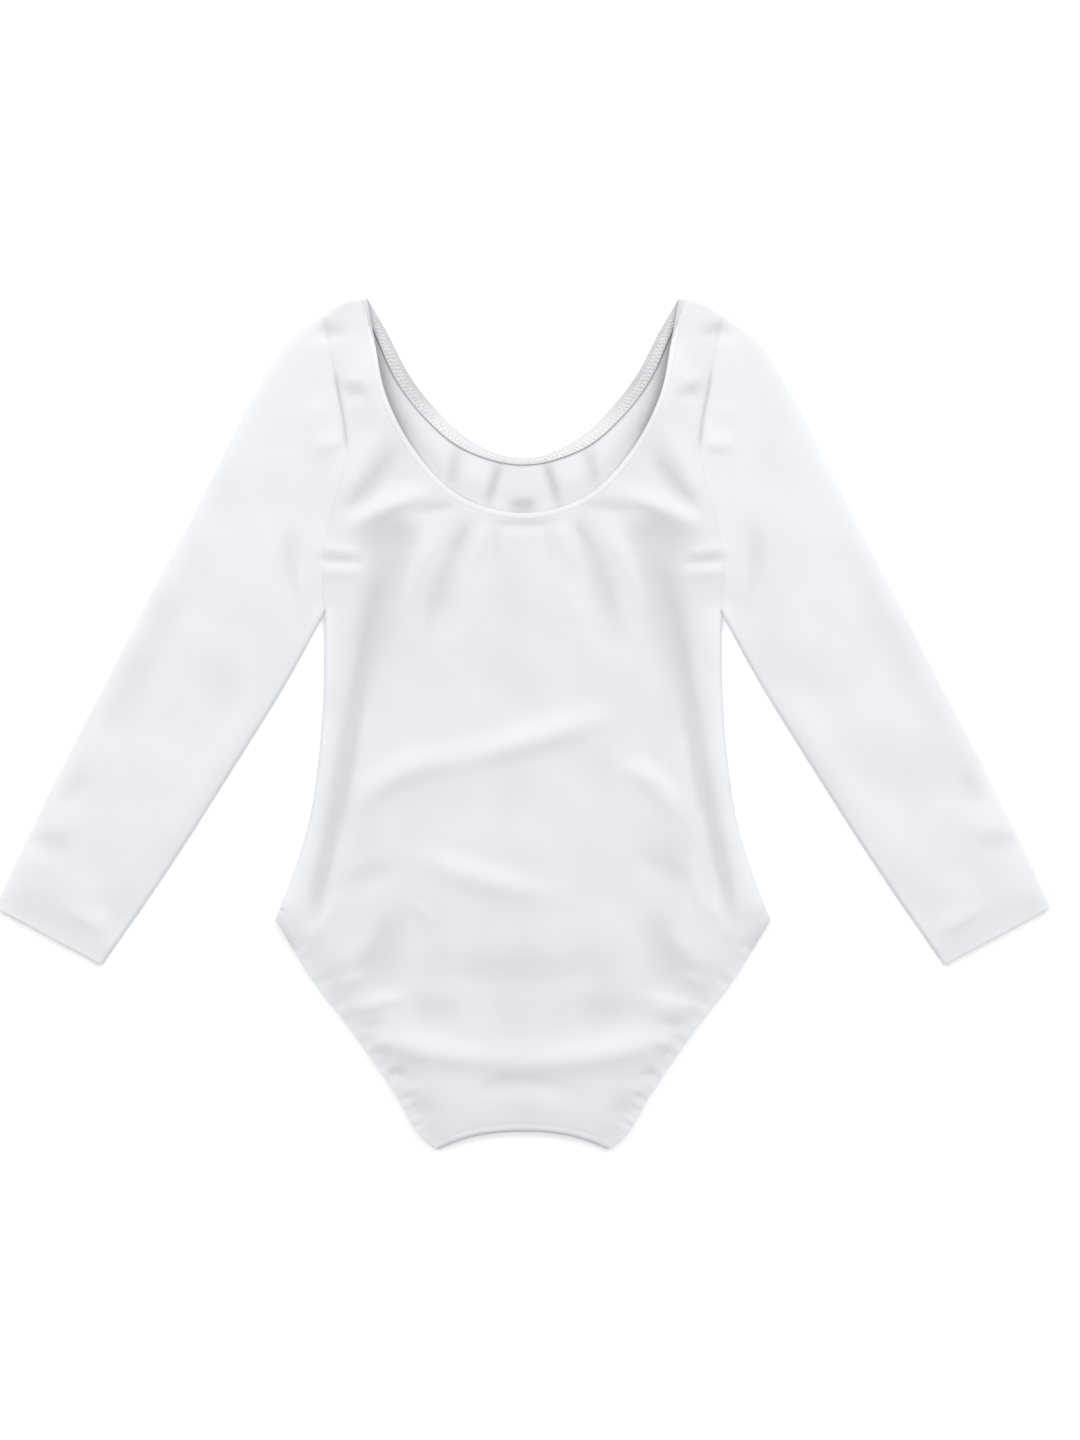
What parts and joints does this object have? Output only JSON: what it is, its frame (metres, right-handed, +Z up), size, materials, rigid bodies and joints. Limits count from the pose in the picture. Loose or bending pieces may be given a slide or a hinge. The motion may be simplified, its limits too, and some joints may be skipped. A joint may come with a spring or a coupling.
{
  "type": "long-sleeve leotard",
  "caption": "Child's stretch-knit leotard laid flat, front up: scoop neck, set-in long sleeves, high-cut leg openings with elastic hems.",
  "frame": {"origin": "middle of the garment's outline, on the surface it lies on", "axes": "+X to the wearer's left (the picture's right), +Y towards the shoulders, +Z up out of the surface, towards the camera"},
  "size_m": [0.6214, 0.5016, 0.009],
  "materials": {
    "knit": "matt fine-gauge stretch jersey, plain white",
    "elastic_hem": "white jersey turned over elastic and cover-stitched"
  },
  "bodies": {
    "root": {"front_panel": "knit", "back_panel": "knit", "sleeve_left": "knit", "sleeve_right": "knit", "neck_band": "elastic_hem", "leg_band_left": "elastic_hem", "leg_band_right": "elastic_hem"}
  },
  "joints": []
}
